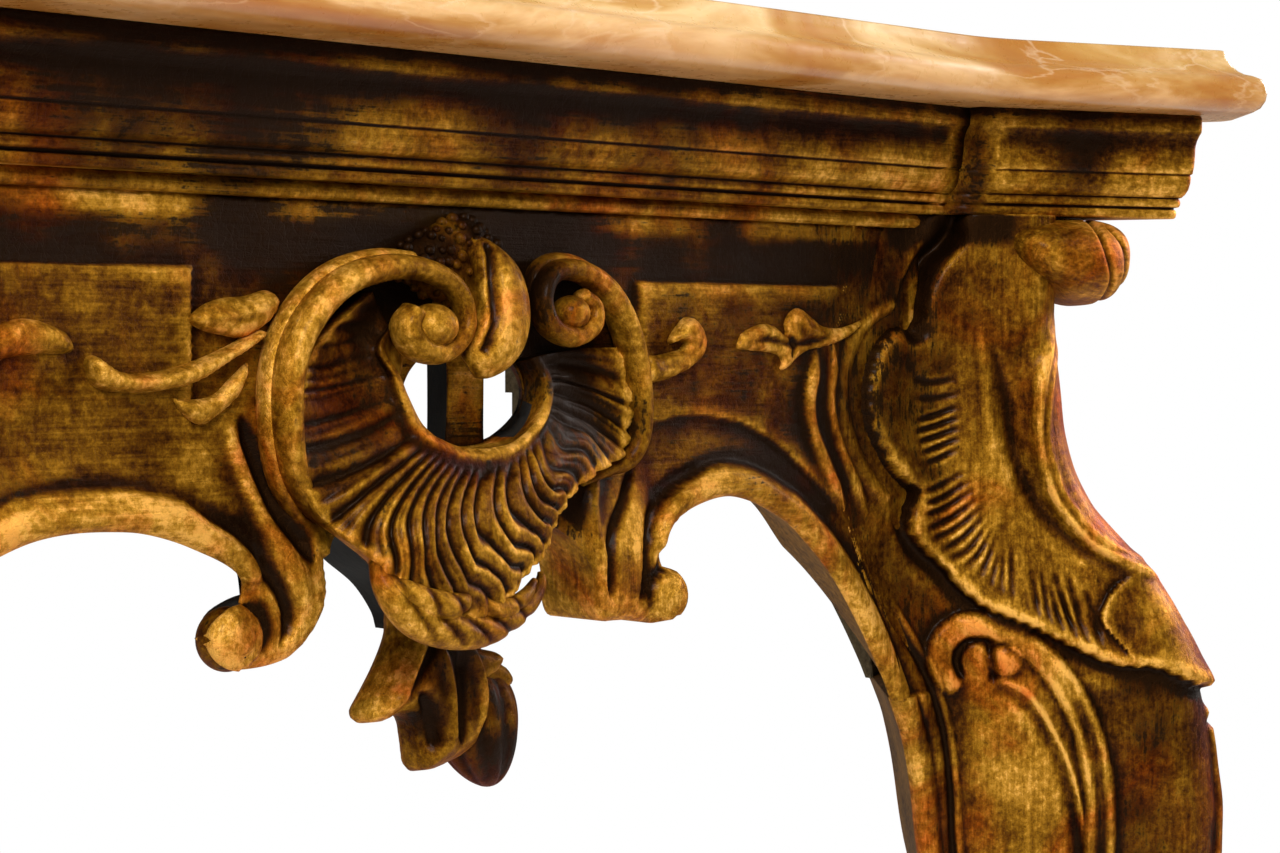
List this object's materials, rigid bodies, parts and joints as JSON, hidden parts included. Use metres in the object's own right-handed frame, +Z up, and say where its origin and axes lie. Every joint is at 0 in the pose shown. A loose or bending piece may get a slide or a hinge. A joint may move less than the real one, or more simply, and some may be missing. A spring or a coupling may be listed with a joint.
{
  "type": "console table",
  "caption": "Wall console table: a loose moulded marble top on a carved, gilded wooden stand with a pierced shell, arched apron and cabriole legs.",
  "frame": {"origin": "on the floor, under the middle of the table's overall box", "axes": "+X to the right along the front, +Y to the wall behind, +Z up"},
  "size_m": [1.0084, 0.4736, 0.9],
  "materials": {
    "marble": "polished",
    "gilded_wood": "aged gilding, varnished",
    "raw_wood": "bare, aged"
  },
  "bodies": {
    "stand": {"arch_moulding_left": "gilded_wood", "arch_moulding_right": "gilded_wood", "back_rail": "raw_wood", "bearer_left": "raw_wood", "bearer_right": "raw_wood", "bracket_left": "gilded_wood", "bracket_right": "gilded_wood", "cornice_corner_left": "gilded_wood", "cornice_corner_right": "gilded_wood", "cornice_front": "gilded_wood", "cornice_left": "gilded_wood", "cornice_right": "gilded_wood", "foot_pad_left": "gilded_wood", "foot_pad_right": "gilded_wood", "front_apron": "gilded_wood", "glue_blocks": "raw_wood", "husk_drop_left": "gilded_wood", "husk_drop_right": "gilded_wood", "knee_cap_left": "gilded_wood", "knee_cap_right": "gilded_wood", "knee_scroll_front_left": "gilded_wood", "knee_scroll_front_right": "gilded_wood", "knee_scroll_side_left": "gilded_wood", "knee_scroll_side_right": "gilded_wood", "leaf_spray_left": "gilded_wood", "leaf_spray_right": "gilded_wood", "leg_left": "gilded_wood", "leg_right": "gilded_wood", "leg_roll_left": "gilded_wood", "leg_roll_right": "gilded_wood", "pendant_bud": "gilded_wood", "pendant_flower": "gilded_wood", "rocaille_front_left": "gilded_wood", "rocaille_front_right": "gilded_wood", "rocaille_side_left": "gilded_wood", "rocaille_side_right": "gilded_wood", "shell_body": "gilded_wood", "shell_crest": "gilded_wood", "shell_scroll_left": "gilded_wood", "shell_scroll_right": "gilded_wood", "side_apron_left": "gilded_wood", "side_apron_right": "gilded_wood", "spray_left": "gilded_wood", "spray_right": "gilded_wood"},
    "top": {"marble_top": "marble"}
  },
  "joints": [
    {"name": "top_lift", "type": "slide", "parent": "stand", "child": "top", "axis": [0, 0, 1], "range_m": [0, 0.12]}
  ]
}
